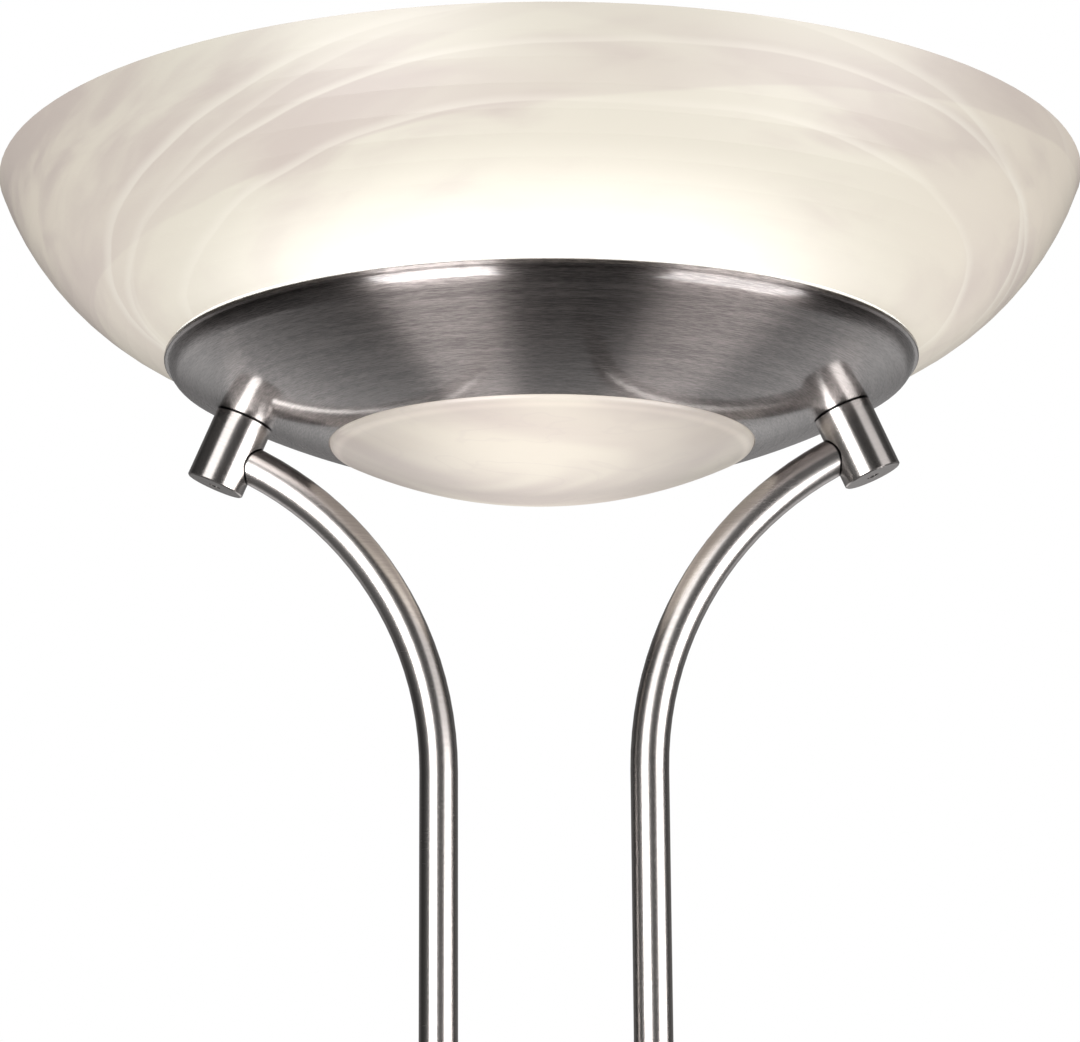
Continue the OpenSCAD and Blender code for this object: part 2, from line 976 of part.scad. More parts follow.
module lower_tube_right() {
    lower_tube(1);
}

// Threaded couplers with a slim collar between the tubes
module couplers(joint_h) {
    color(metal_colour)
        for (side = [-1, 1])
            translate([side * pole_x, 0, joint_h])
                difference() {
                    union() {
                        cylinder(h = collar_h, r = collar_r);
                        translate([0, 0, -spigot_l])
                            cylinder(h = collar_h + 2 * spigot_l, r = tube_in_r - seat_gap);
                    }
                    translate([0, 0, -spigot_l - cut])
                        cylinder(h = collar_h + 2 * spigot_l + 2 * cut, r = coupler_bore_r);
                }
}

module upper_couplers() {
    couplers(upper_joint_h);
}

module lower_couplers() {
    couplers(lower_joint_h);
}

// Insulated wire from the terminal block, up the pole, through the knuckle and the
// nipple, and inwards to the lamp holder
module wire(side) {
    start_x = 11;
    end_l = 3;
    wire_z = stem_z - wire_bend_r;
    inner_end_r = wire_in_d * sin(lean) - wire_bend_r * cos(lean);
    color("firebrick")
        on_side(side)
            translate([start_x, 0, wire_z])
                rotate([0, 90, 0])
                    run(
                        [
                            [pole_x - start_x - wire_bend_r, -90, wire_bend_r],
                            [bend_start_z - stem_z, bend_angle, bend_r],
                            [bend_stub - wire_cross_in + 0.01, -wire_cross_turn, wire_cross_bend_r],
                            [cross_d - wire_cross_in - wire_in_d, lean - 90, wire_bend_r],
                            [inner_end_r - wire_rise_x - wire_bend_r, 90, wire_bend_r],
                            [end_l, 0, 0]
                        ],
                        wire_r
                    );
}

module wire_left() {
    wire(-1);
}

module wire_right() {
    wire(1);
}

// ---- Dimmer ----

module at_dimmer() {
    translate([0, 0, dimmer_h])
        children();
}

// Housing that bridges the poles, open at the back
module dimmer_housing() {
    cover_gap = 0.2;
    color(metal_colour)
        at_dimmer()
            difference() {
                translate([0, 0, -housing_h / 2])
                    linear_extrude(height = housing_h)
                        union() {
                            square([pole_gap, 2 * housing_r], center = true);
                            for (side = [-1, 1])
                                translate([side * pole_x, 0])
                                    circle(housing_r);
                        }
                for (side = [-1, 1]) {
                    translate([side * pole_x, 0, -housing_h / 2 - cut])
                        cylinder(h = housing_h + 2 * cut, r = tube_r + seat_gap);
                    translate([side * pole_x, 0, 0])
                        along_y()
                            cylinder(h = housing_r + cut, r = m4_r + seat_gap);
                    for (z = [-cover_screw_z, cover_screw_z])
                        translate([side * cover_screw_x, housing_r - cover_screw_l - cut, z])
                            along_y()
                                cylinder(h = cover_screw_l + 2 * cut, r = cover_screw_r + seat_gap);
                }
                translate([-pocket_w / 2, pocket_front, -pocket_h / 2])
                    cube([pocket_w, housing_r - pocket_front + cut, pocket_h]);
                translate([-cover_w / 2 - cover_gap, housing_r - cover_t, -cover_h / 2 - cover_gap])
                    cube([cover_w + 2 * cover_gap, cover_t + cut, cover_h + 2 * cover_gap]);
                translate([0, pocket_front + cut, 0])
                    rotate([90, 0, 0])
                        cylinder(h = housing_r, r = neck_r + neck_gap);
                translate([pocket_w / 2 - cut, 0, 0])
                    along_x()
                        cylinder(h = pole_x - pocket_w / 2, r = pole_wire_hole_r);
            }
}

module dimmer_cover() {
    color(metal_colour)
        at_dimmer()
            difference() {
                translate([-cover_w / 2, housing_r - cover_t + face_gap, -cover_h / 2])
                    cube([cover_w, cover_t, cover_h]);
                for (x = [-cover_screw_x, cover_screw_x])
                    for (z = [-cover_screw_z, cover_screw_z])
                        translate([x, housing_r - cover_t - cut, z])
                            along_y()
                                cylinder(h = cover_t + 2 * cut, r = cover_screw_r + seat_gap);
            }
}

module dimmer_cover_screws() {
    color(dark_metal_colour)
        at_dimmer()
            for (x = [-cover_screw_x, cover_screw_x])
                for (z = [-cover_screw_z, cover_screw_z])
                    translate([x, housing_r + face_gap, z])
                        along_y()
                            pan_screw(cover_screw_r, cover_screw_l, cover_screw_head_r, cover_screw_head_h);
}

module dimmer_module() {
    color(plastic_colour)
        at_dimmer()
            difference() {
                union() {
                    translate([-module_w / 2, pocket_front + seat_gap, -module_h / 2])
                        cube([module_w, module_back - pocket_front - seat_gap, module_h]);
                    translate([0, neck_tip, 0])
                        along_y()
                            cylinder(h = pocket_front - neck_tip + cut, r = neck_r);
                }
                translate([0, neck_tip - cut, 0])
                    along_y()
                        cylinder(h = shaft_in + 0.5 - neck_tip + cut, r = shaft_r + shaft_gap);
            }
}

// Two short leads from the module into the right pole
module dimmer_leads() {
    lead_r = 1;
    color("firebrick")
        at_dimmer()
            for (z = [-1.6, 1.6])
                translate([module_w / 2, 0, z])
                    along_x()
                        cylinder(h = pole_x - module_w / 2 - wire_r - 0.4, r = lead_r);
}

module dimmer_washer() {
    color(zinc_colour)
        at_dimmer()
            translate([0, -housing_r - face_gap, 0])
                rotate([90, 0, 0])
                    washer(dimmer_washer_r, neck_r + neck_gap, dimmer_washer_t);
}

module dimmer_nut() {
    color(zinc_colour)
        at_dimmer()
            translate([0, -housing_r - dimmer_washer_t - 2 * face_gap, 0])
                rotate([90, 0, 0])
                    hex_nut(dimmer_nut_flats, neck_r + seat_gap, dimmer_nut_t);
}

module dimmer_shaft() {
    color(zinc_colour)
        at_dimmer()
            translate([0, shaft_in, 0])
                rotate([90, 0, 0])
                    cylinder(h = shaft_in - knob_front - knob_face_t, r = shaft_r);
}

// Fluted knob with a hollow back that covers the nut, and a dimple that shows its turn
module dimmer_knob() {
    knob_l = knob_back - knob_front;
    hollow_l = knob_back - neck_tip + 1.5;
    bevel = 1;
    flute_depth = 0.8;
    flute_start = 3;
    dimple_at_r = knob_r - 4.5;
    dimple_depth = 0.8;
    color(dark_metal_colour)
        at_dimmer()
            translate([0, knob_back, 0])
                rotate([90, 0, 0])
                    difference() {
                        union() {
                            cylinder(h = knob_l - bevel, r = knob_r);
                            translate([0, 0, knob_l - bevel])
                                cylinder(h = bevel, r1 = knob_r, r2 = knob_r - bevel);
                        }
                        translate([0, 0, -cut])
                            cylinder(h = hollow_l + cut, r = knob_hollow_r);
                        cylinder(h = knob_l - knob_face_t, r = shaft_r + face_gap);
                        for (i = [0 : knob_flutes - 1])
                            rotate([0, 0, 360 * i / knob_flutes])
                                translate([knob_r + flute_r - flute_depth, 0, flute_start])
                                    cylinder(h = knob_l, r = flute_r, $fn = 24);
                        translate([0, dimple_at_r, knob_l - dimple_depth])
                            cylinder(h = dimple_depth + cut, r = dimple_r, $fn = 24);
                    }
}

module housing_set_screws() {
    recess = 0.5;
    screw_out = housing_r - recess;
    color(dark_metal_colour)
        at_dimmer()
            for (side = [-1, 1])
                translate([side * pole_x, screw_out, 0])
                    along_y()
                        grub_screw(m4_r, screw_out - tube_r - face_gap);
}

// ---- Base ----

module at_each_pole() {
    for (side = [-1, 1])
        translate([side * pole_x, 0, 0])
            children();
}

module base_cover() {
    color(metal_colour)
        difference() {
            rotate_extrude($fn = 180)
                difference() {
                    polygon(base_outline(0, base_gap_h));
                    polygon(base_outline(base_t, base_gap_h - cut));
                }
            at_each_pole()
                cylinder(h = base_top_h + cut, r = socket_stem_r + stem_gap);
            translate([0, base_r - base_t - 2 * cut, cord_z])
                along_y()
                    cylinder(h = base_t + 4 * cut, r = cover_cord_hole_r);
        }
}

// Cast-iron weight, with pockets for the nuts and channels for the wires and the cord
module base_weight() {
    cord_channel_w = 14;
    cord_channel_z = 14;
    block_pocket_w = 26;
    block_pocket_d = 18;
    color(dark_metal_colour)
        difference() {
            rotate_extrude($fn = 180)
                intersection() {
                    polygon(base_outline(base_t + 0.1, weight_z));
                    translate([0, weight_z])
                        square([weight_r, base_top_h]);
                }
            at_each_pole() {
                cylinder(h = base_top_h + cut, r = socket_stem_r + stem_gap);
                cylinder(h = nut_pocket_z, r = nut_pocket_r);
            }
            translate([-pole_x, -channel_w / 2, 0])
                cube([pole_gap, channel_w, channel_z]);
            translate([-cord_channel_w / 2, 0, 0])
                cube([cord_channel_w, base_r, cord_channel_z]);
            translate([-block_pocket_w / 2, -block_pocket_d / 2, 0])
                cube([block_pocket_w, block_pocket_d, cord_channel_z]);
            for (turn = plate_screw_turns)
                rotate([0, 0, turn])
                    translate([plate_screw_ring_r, 0, 0])
                        cylinder(h = weight_z + plate_screw_l, r = plate_screw_r + seat_gap);
        }
}

module base_plate() {
    color(zinc_colour)
        translate([0, 0, felt_t])
            difference() {
                cylinder(h = plate_t - face_gap, r = plate_r, $fn = 180);
                for (turn = plate_screw_turns)
                    rotate([0, 0, turn])
                        translate([plate_screw_ring_r, 0, -cut])
                            cylinder(h = plate_t + 2 * cut, r = plate_screw_r + 0.1);
            }
}

module base_plate_screws() {
    color(zinc_colour)
        for (turn = plate_screw_turns)
            rotate([0, 0, turn])
                translate([plate_screw_ring_r, 0, felt_t])
                    rotate([180, 0, 0])
                        pan_screw(plate_screw_r, plate_screw_l, plate_screw_head_r, plate_screw_head_h);
}

module felt_pad() {
    head_room = 0.8;
    color("black")
        difference() {
            cylinder(h = felt_t - face_gap, r = felt_r, $fn = 180);
            for (turn = plate_screw_turns)
                rotate([0, 0, turn])
                    translate([plate_screw_ring_r, 0, -cut])
                        cylinder(h = felt_t + 2 * cut, r = plate_screw_head_r + head_room);
        }
}

// Turned socket that a pole stands in, with a hollow threaded stem down through the base
module pole_socket(side) {
    edge = 0.8;
    foot_z = base_top_h + face_gap;
    color(metal_colour)
        translate([side * pole_x, 0, 0])
            difference() {
                union() {
                    translate([0, 0, foot_z])
                        cylinder(h = socket_top_z - edge - foot_z, r = socket_r);
                    translate([0, 0, socket_top_z - edge])
                        cylinder(h = edge, r1 = socket_r, r2 = socket_r - edge);
                    translate([0, 0, stem_z])
                        cylinder(h = foot_z - stem_z + cut, r = socket_stem_r);
                }
                translate([0, 0, pole_foot_z - face_gap])
                    cylinder(h = socket_top_z, r = tube_r + seat_gap);
                translate([0, 0, stem_z - cut])
                    cylinder(h = socket_top_z, r = socket_bore_r);
                translate([0, 0, set_screw_z])
                    along_y()
                        cylinder(h = socket_r + cut, r = m4_r + seat_gap);
            }
}

module pole_socket_left() {
    pole_socket(-1);
}

module pole_socket_right() {
    pole_socket(1);
}

module socket_washers() {
    washer_r = 11.5;
    color(zinc_colour)
        at_each_pole()
            translate([0, 0, socket_nut_z + socket_nut_t])
                washer(washer_r, socket_stem_r + stem_gap, nut_pocket_z - socket_nut_z - socket_nut_t);
}

module socket_nuts() {
    color(zinc_colour)
        at_each_pole()
            translate([0, 0, socket_nut_z])
                hex_nut(socket_nut_flats, socket_stem_r + seat_gap, socket_nut_t);
}

module socket_set_screws() {
    recess = 0.6;
    screw_out = socket_r - recess;
    color(dark_metal_colour)
        at_each_pole()
            translate([0, screw_out, set_screw_z])
                along_y()
                    grub_screw(m4_r, screw_out - tube_r - face_gap);
}

module terminal_block() {
    block_w = 20;
    block_d = 14;
    block_h = 8;
    screw_x = 5;
    screw_hole_r = 2;
    color(ceramic_colour)
        difference() {
            translate([-block_w / 2, -block_d / 2, weight_z + seat_gap])
                cube([block_w, block_d, block_h]);
            for (x = [-screw_x, screw_x])
                translate([x, 0, weight_z + block_h / 2])
                    cylinder(h = block_h, r = screw_hole_r, $fn = 24);
        }
}

// Bushing that the mains cord enters through, at the back of the base
module cord_bushing() {
    barb_gap = 0.3;
    barb_r = cover_cord_hole_r + 0.3;
    barb_l = 3;
    wall_in_y = base_r - base_t - barb_gap;
    color("black")
        translate([0, 0, cord_z])
            difference() {
                union() {
                    translate([0, base_r + face_gap, 0])
                        along_y()
                            cylinder(h = bushing_flange_t, r = bushing_flange_r);
                    translate([0, wall_in_y - barb_l, 0])
                        along_y()
                            cylinder(h = base_r - wall_in_y + barb_l + 1, r = bushing_neck_r);
                    translate([0, wall_in_y - barb_l, 0])
                        along_y()
                            cylinder(h = barb_l, r = barb_r);
                }
                translate([0, wall_in_y - barb_l - cut, 0])
                    along_y()
                        cylinder(h = base_t + barb_l + bushing_flange_t + 4 * cut, r = cord_r);
            }
}

// ---- Drawing ----

glass_bowl();
bowl_gasket();
dish();
lens_glass();
lens_clips();
lens_clip_screws();
lamp_frame();
lampholder_left();
lampholder_right();
holder_screws();
holder_contacts();
lamp_tube();
lamp_caps();
lamp_filament();
wire_guard();
thermal_cutout();
cutout_screws();
nipple_left();
nipple_right();
nipple_washers();
nipple_locknuts();
knuckle_left();
knuckle_right();
knuckle_set_screws();
upper_tube_left();
upper_tube_right();
middle_tube_left();
middle_tube_right();
lower_tube_left();
lower_tube_right();
upper_couplers();
lower_couplers();
wire_left();
wire_right();
dimmer_housing();
dimmer_cover();
dimmer_cover_screws();
dimmer_module();
dimmer_leads();
dimmer_washer();
dimmer_nut();
dimmer_shaft();
dimmer_knob();
housing_set_screws();
base_cover();
base_weight();
base_plate();
base_plate_screws();
felt_pad();
pole_socket_left();
pole_socket_right();
socket_washers();
socket_nuts();
socket_set_screws();
terminal_block();
cord_bushing();
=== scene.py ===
"""Looks of the two-pole torchiere floor lamp: a lit alabaster-glass bowl and lens on brushed nickel.

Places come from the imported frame, and the dish's and knuckles' sizes are those of the CAD. Metres,
+Z up, front towards -Y.
"""
import json
import math

import bmesh
import bpy
from mathutils import Matrix, Vector


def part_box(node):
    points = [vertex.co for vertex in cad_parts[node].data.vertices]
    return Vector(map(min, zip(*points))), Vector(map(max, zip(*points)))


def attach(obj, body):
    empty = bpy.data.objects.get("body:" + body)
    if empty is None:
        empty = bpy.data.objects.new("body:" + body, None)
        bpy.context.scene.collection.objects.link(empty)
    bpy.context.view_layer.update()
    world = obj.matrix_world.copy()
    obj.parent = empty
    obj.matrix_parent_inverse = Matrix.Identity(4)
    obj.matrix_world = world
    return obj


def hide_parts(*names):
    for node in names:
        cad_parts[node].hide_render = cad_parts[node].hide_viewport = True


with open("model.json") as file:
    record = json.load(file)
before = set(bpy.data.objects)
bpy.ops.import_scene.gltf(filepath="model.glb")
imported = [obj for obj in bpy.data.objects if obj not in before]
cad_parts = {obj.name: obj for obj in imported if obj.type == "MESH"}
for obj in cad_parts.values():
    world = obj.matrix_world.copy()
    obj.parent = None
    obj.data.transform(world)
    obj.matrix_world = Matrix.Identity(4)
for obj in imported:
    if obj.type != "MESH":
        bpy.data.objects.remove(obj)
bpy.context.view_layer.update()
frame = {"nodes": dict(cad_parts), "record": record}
NODES = frame["nodes"]

MM = 0.001


# ---- Places read from the frame ----

LENS_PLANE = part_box("dish")[0].z
LAMP_LOW, LAMP_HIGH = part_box("lamp_tube")
LAMP_CENTRE = (LAMP_LOW + LAMP_HIGH) / 2
FILAMENT_LOW, FILAMENT_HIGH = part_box("lamp_filament")

# The dish's wall is part of a ball, and the knuckles stand square to it.
DISH_RADIUS = 320 * MM
DISH_CENTRE_Z = LENS_PLANE + 307.17 * MM
KNUCKLE_LEAN = math.radians(23.25)
KNUCKLE_RADIUS = 12.4 * MM


# ---- Camera ----

CAMERA_PLACE = Vector((46.3, -1120, 1465.8)) * MM
CAMERA_TURN = math.radians(-2.42)
CAMERA_PITCH = math.radians(11.35)
CAMERA_ROLL = math.radians(-0.36)
CAMERA_LENS = 90.9
CAMERA_FAR_CLIP = 100


def make_camera():
    camera = bpy.data.objects.new("camera", bpy.data.cameras.new("camera"))
    bpy.context.scene.collection.objects.link(camera)
    camera.data.lens = CAMERA_LENS
    camera.data.clip_end = CAMERA_FAR_CLIP
    forward = Vector((
        math.sin(CAMERA_TURN) * math.cos(CAMERA_PITCH),
        math.cos(CAMERA_TURN) * math.cos(CAMERA_PITCH),
        math.sin(CAMERA_PITCH),
    ))
    level = Vector((math.cos(CAMERA_TURN), -math.sin(CAMERA_TURN), 0))
    above = level.cross(forward)
    right = math.cos(CAMERA_ROLL) * level + math.sin(CAMERA_ROLL) * above
    up = right.cross(forward)
    camera.matrix_world = Matrix((
        (right.x, up.x, -forward.x, CAMERA_PLACE.x),
        (right.y, up.y, -forward.y, CAMERA_PLACE.y),
        (right.z, up.z, -forward.z, CAMERA_PLACE.z),
        (0, 0, 0, 1),
    ))
    bpy.context.scene.camera = camera


# ---- Lights, studio and floor ----

# The softboxes stand upright round the lamp. Each has its name, its azimuth in degrees from the
# front towards +X, its width, radiance and colour, and the factor that dims its upper part.
SOFTBOXES = (
    ("softbox_left", -28.7, 1.21, 7.7, (1, 0.985, 0.975), 0.2),
    ("softbox_right", 61, 1.50, 4.8, (1, 0.975, 0.965), 0.16),
)
SOFTBOX_REACH = 1.9
SOFTBOX_HEIGHT = 2.9
SOFTBOX_MIDDLE_Z = 1.5

# A softbox dims between these parts of its height.
DIMMING_START = 0.48
DIMMING_END = 0.67

# The halogen lamp's light inside the bowl stands just above the quartz tube's middle.
GLOW_ENERGY = 0.9
GLOW_COLOUR = (1, 0.86, 0.66)
GLOW_SIZE = 0.02
GLOW_LIFT = 9 * MM

# What metal mirrors, by the direction it looks in. Each ramp has an axis, the two places on it
# where the ramp starts and ends, and its values there. The two ramps of a pair are multiplied.
FAR_END = (("Y", 0.35, 0.80, 0.115, 0.78), ("Z", -0.40, -0.05, 1.0, 0.2))
FAR_CORNER = (("Y", 0.90, 0.98, 0.0, 0.08), ("X", 0.0, 0.12, 0.0, 1.0))
CEILING = ("Z", 0.5, 0.85, 0.0, 0.6)
MIRRORED_COLOUR = (1, 0.985, 0.98, 1)

# Behind the lamp, for the camera, and round it, for matt surfaces.
SEEN_COLOUR = (1, 1, 1, 1)
EVEN_COLOUR = (0.62, 0.62, 0.62, 1)

FLOOR_LIGHT = (0.91, 0.91, 0.905)
FLOOR_DARK = (0.87, 0.87, 0.865)
FLOOR_REACH = 40


def softbox(name, azimuth, width, radiance, colour, top):
    """A soft light that isn't seen itself, turned to the lamp's axis."""
    turn = math.radians(azimuth)
    place = Vector((
        SOFTBOX_REACH * math.sin(turn), -SOFTBOX_REACH * math.cos(turn), SOFTBOX_MIDDLE_Z))
    aim = Vector((0, 0, SOFTBOX_MIDDLE_Z))
    light = bpy.data.lights.new(name, "AREA")
    light.shape = "RECTANGLE"
    light.size = width
    light.size_y = SOFTBOX_HEIGHT
    light.energy = radiance * 4 * width * SOFTBOX_HEIGHT
    light.color = colour
    light.use_nodes = True
    nodes = light.node_tree.nodes
    geometry = nodes.new("ShaderNodeNewGeometry")
    split = nodes.new("ShaderNodeSeparateXYZ")
    fall = nodes.new("ShaderNodeMapRange")
    fall.interpolation_type = "SMOOTHSTEP"
    fall.inputs["From Min"].default_value = DIMMING_START
    fall.inputs["From Max"].default_value = DIMMING_END
    fall.inputs["To Min"].default_value = 1.0
    fall.inputs["To Max"].default_value = top
    links = light.node_tree.links
    links.new(geometry.outputs["Parametric"], split.inputs[0])
    links.new(split.outputs["Y"], fall.inputs["Value"])
    links.new(fall.outputs["Result"], nodes["Emission"].inputs["Strength"])
    lamp = bpy.data.objects.new(name, light)
    bpy.context.scene.collection.objects.link(lamp)
    lamp.location = place
    lamp.rotation_mode = "QUATERNION"
    lamp.rotation_quaternion = (aim - place).to_track_quat("-Z", "Y")
    lamp.visible_camera = False
    return lamp


def make_glow():
    glow = bpy.data.lights.new("halogen_glow", "POINT")
    glow.energy = GLOW_ENERGY
    glow.color = GLOW_COLOUR
    glow.shadow_soft_size = GLOW_SIZE
    lamp = bpy.data.objects.new("halogen_glow", glow)
    bpy.context.scene.collection.objects.link(lamp)
    lamp.location = LAMP_CENTRE + Vector((0, 0, GLOW_LIFT))
    lamp.visible_camera = False
    lamp.visible_glossy = False


def keep_even(floor, boxes):
    """Keeps the softboxes off the floor, so that it stays plain."""
    unlit = bpy.data.collections.new("unlit_by_softboxes")
    unlit.objects.link(floor)
    unlit.collection_objects[0].light_linking.link_state = "EXCLUDE"
    for box in boxes:
        box.light_linking.receiver_collection = unlit


def make_world():
    """White behind the lamp for the camera, even soft light for matt surfaces, and for the metal a
    dim studio with a paler far end, far right corner and ceiling."""
    world = bpy.data.worlds.new("studio")
    bpy.context.scene.world = world
    world.use_nodes = True
    nodes = world.node_tree.nodes
    links = world.node_tree.links
    way = nodes.new("ShaderNodeTexCoord")
    split = nodes.new("ShaderNodeSeparateXYZ")
    links.new(way.outputs["Generated"], split.inputs[0])

    def ramp(axis, low, high, to_low, to_high):
        made = nodes.new("ShaderNodeMapRange")
        made.interpolation_type = "SMOOTHSTEP"
        made.inputs["From Min"].default_value = low
        made.inputs["From Max"].default_value = high
        made.inputs["To Min"].default_value = to_low
        made.inputs["To Max"].default_value = to_high
        links.new(split.outputs[axis], made.inputs["Value"])
        return made.outputs["Result"]

    def combine(operation, a, b):
        made = nodes.new("ShaderNodeMath")
        made.operation = operation
        links.new(a, made.inputs[0])
        links.new(b, made.inputs[1])
        return made.outputs[0]

    def background(colour):
        made = nodes.new("ShaderNodeBackground")
        made.inputs["Color"].default_value = colour
        return made

    far_end = combine("MULTIPLY", ramp(*FAR_END[0]), ramp(*FAR_END[1]))
    far_corner = combine("MULTIPLY", ramp(*FAR_CORNER[0]), ramp(*FAR_CORNER[1]))
    far = combine("ADD", far_end, far_corner)
    mirrored = background(MIRRORED_COLOUR)
    links.new(combine("ADD", far, ramp(*CEILING)), mirrored.inputs["Strength"])
    seen = background(SEEN_COLOUR)
    even = background(EVEN_COLOUR)
    path = nodes.new("ShaderNodeLightPath")
    surface = even.outputs[0]
    for ray, look in (("Is Glossy Ray", mirrored), ("Is Camera Ray", seen)):
        choose = nodes.new("ShaderNodeMixShader")
        links.new(path.outputs[ray], choose.inputs[0])
        links.new(surface, choose.inputs[1])
        links.new(look.outputs[0], choose.inputs[2])
        surface = choose.outputs[0]
    links.new(surface, nodes["World Output"].inputs["Surface"])


def make_floor():
    paint = Paint("floor_paint")
    speckle = paint.noise(paint.place(), 60, 3)
    paint.set("Base Color", paint.mix(speckle, FLOOR_DARK, FLOOR_LIGHT))
    paint.set("Roughness", 0.9)
    paint.set("Specular IOR Level", 0.1)
    mesh = bmesh.new()
    bmesh.ops.create_grid(mesh, x_segments=8, y_segments=8, size=FLOOR_REACH)
    floor = add_piece("floor", mesh, paint.material)
    floor.visible_glossy = False
    return floor


# ---- Meshes ----

# Edges stay sharp where faces meet at more than this.
SHARP_ANGLE = math.radians(30)

# The filament's coil: its wire, its straight tails, its turns, and the steps and sides of its mesh.
WIRE_RADIUS = 0.16 * MM
WIRE_TAIL = 4 * MM
COIL_TURNS = 56
TURN_STEPS = 14
WIRE_SIDES = 6


def add_piece(name, mesh, material):
    """Makes an object of a bmesh, smooth except at its sharp edges."""
    bmesh.ops.recalc_face_normals(mesh, faces=mesh.faces)
    data = bpy.data.meshes.new(name)
    mesh.to_mesh(data)
    mesh.free()
    data.shade_smooth()
    data.set_sharp_from_angle(angle=SHARP_ANGLE)
    data.materials.append(material)
    piece = bpy.data.objects.new(name, data)
    bpy.context.scene.collection.objects.link(piece)
    return piece


def sweep(points, radius, sides):
    """A round wire along a line of points, closed at both ends, as a bmesh."""
    mesh = bmesh.new()
    rings = []
    across = None
    for index, point in enumerate(points):
        before = points[max(index - 1, 0)]
        after = points[min(index + 1, len(points) - 1)]
        along = (after - before).normalized()
        if across is None:
            across = along.orthogonal().normalized()
        across = (across - along * across.dot(along)).normalized()
        square = along.cross(across)
        ring = []
        for k in range(sides):
            turn = 2 * math.pi * k / sides
            ring.append(mesh.verts.new(
                point + radius * (across * math.cos(turn) + square * math.sin(turn))))
        rings.append(ring)
    for lower, upper in zip(rings, rings[1:]):
        for k in range(sides):
            mesh.faces.new((lower[k], lower[(k + 1) % sides], upper[(k + 1) % sides], upper[k]))
    mesh.faces.new(rings[0])
    mesh.faces.new(rings[-1])
    return mesh


def make_filament():
    """Coiled tungsten wire in place of the plain rod: a coil with straight tails at both ends."""
    coil_r = (FILAMENT_HIGH.z - FILAMENT_LOW.z) / 2 - WIRE_RADIUS
    start = FILAMENT_LOW.x + WIRE_TAIL
    reach = FILAMENT_HIGH.x - FILAMENT_LOW.x - 2 * WIRE_TAIL
    centre = (FILAMENT_LOW + FILAMENT_HIGH) / 2
    steps = COIL_TURNS * TURN_STEPS
    points = [Vector((FILAMENT_LOW.x, centre.y, centre.z + coil_r))]
    for step in range(steps + 1):
        turn = 2 * math.pi * step / TURN_STEPS
        points.append(Vector((
            start + reach * step / steps,
            centre.y + coil_r * math.sin(turn),
            centre.z + coil_r * math.cos(turn),
        )))
    points.append(Vector((FILAMENT_HIGH.x, centre.y, centre.z + coil_r)))
    coil = sweep(points, WIRE_RADIUS, WIRE_SIDES)
    piece = add_piece("filament_coil", coil, MATERIALS["tungsten"])
    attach(piece, "stand")
    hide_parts("lamp_filament")


# ---- Node materials ----

class Paint:
    """A procedural material. Each call adds a node and returns its output, for the next call."""

    def __init__(self, name):
        self.material = bpy.data.materials.new(name)
        self.material.use_nodes = True
        self.tree = self.material.node_tree
        self.shader = self.tree.nodes["Principled BSDF"]

    def node(self, kind, inputs=None, output=0, **settings):
        made = self.tree.nodes.new("ShaderNode" + kind)
        for name, value in settings.items():
            setattr(made, name, value)
        for name, value in (inputs or {}).items():
            self.feed(made.inputs[name], value)
        return made.outputs[output]

    def feed(self, socket, value):
        if isinstance(value, bpy.types.NodeSocket):
            self.tree.links.new(value, socket)
        elif socket.type == "RGBA":
            socket.default_value = (*value, 1)[:4]
        else:
            socket.default_value = value

    def set(self, name, value):
        self.feed(self.shader.inputs[name], value)

    def place(self):
        return self.node("TexCoord", output="Object")

    def parts(self, vector):
        split = self.tree.nodes.new("ShaderNodeSeparateXYZ")
        self.feed(split.inputs[0], vector)
        return split.outputs[0], split.outputs[1], split.outputs[2]

    def join(self, x, y, z):
        return self.node("CombineXYZ", {0: x, 1: y, 2: z})

    def math(self, operation, a, b=0.0):
        return self.node("Math", {0: a, 1: b}, operation=operation)

    def vector(self, operation, a, b=(0, 0, 0), output=0):
        return self.node("VectorMath", {0: a, 1: b}, output, operation=operation)

    def scaled(self, vector, factors):
        return self.vector("MULTIPLY", vector, factors)

    def noise(self, vector, scale, detail=2.0, roughness=0.5, distortion=0.0):
        return self.node("TexNoise", {
            "Vector": vector, "Scale": scale, "Detail": detail,
            "Roughness": roughness, "Distortion": distortion,
        })

    def spread(self, value, low, high, to_low=0.0, to_high=1.0):
        """Goes smoothly from to_low to to_high while value goes from low to high."""
        return self.node("MapRange", {
            "Value": value, "From Min": low, "From Max": high, "To Min": to_low, "To Max": to_high,
        }, interpolation_type="SMOOTHSTEP")

    def blend(self, a, b, share):
        """Two values added up, a by its share and b by the rest."""
        return self.math(
            "ADD", self.math("MULTIPLY", a, share), self.math("MULTIPLY", b, 1 - share))

    def mix(self, factor, a, b):
        """A colour between a and b. The Mix node's colours go in at 6 and 7 and come out at 2."""
        return self.node("Mix", {0: factor, 6: a, 7: b}, 2, data_type="RGBA")

    def bump(self, height, distance, strength=1.0):
        return self.node("Bump", {"Height": height, "Distance": distance, "Strength": strength})


# ---- Brushed nickel ----

NICKEL = (0.62, 0.59, 0.575)
NICKEL_DARK = (0.50, 0.475, 0.46)
DISH_NICKEL = (0.32, 0.287, 0.278)
DISH_NICKEL_DARK = (0.12, 0.107, 0.104)
HOUSING_NICKEL = (0.42, 0.40, 0.39)
HOUSING_NICKEL_DARK = (0.30, 0.285, 0.277)
# Black painted as shade in the gaps where a tube enters its knuckle and where a knuckle meets the dish.
GAP_SHADE_BLACK = (0.012, 0.011, 0.011)

# With this turn of the tangent, highlights stretch square to the brushing.
BRUSHING_TURN = 0.25

# The clear coat that mirrors more sharply than the brushed metal under it.
COAT_ROUGHNESS = 0.11
COAT_IOR = 1.68
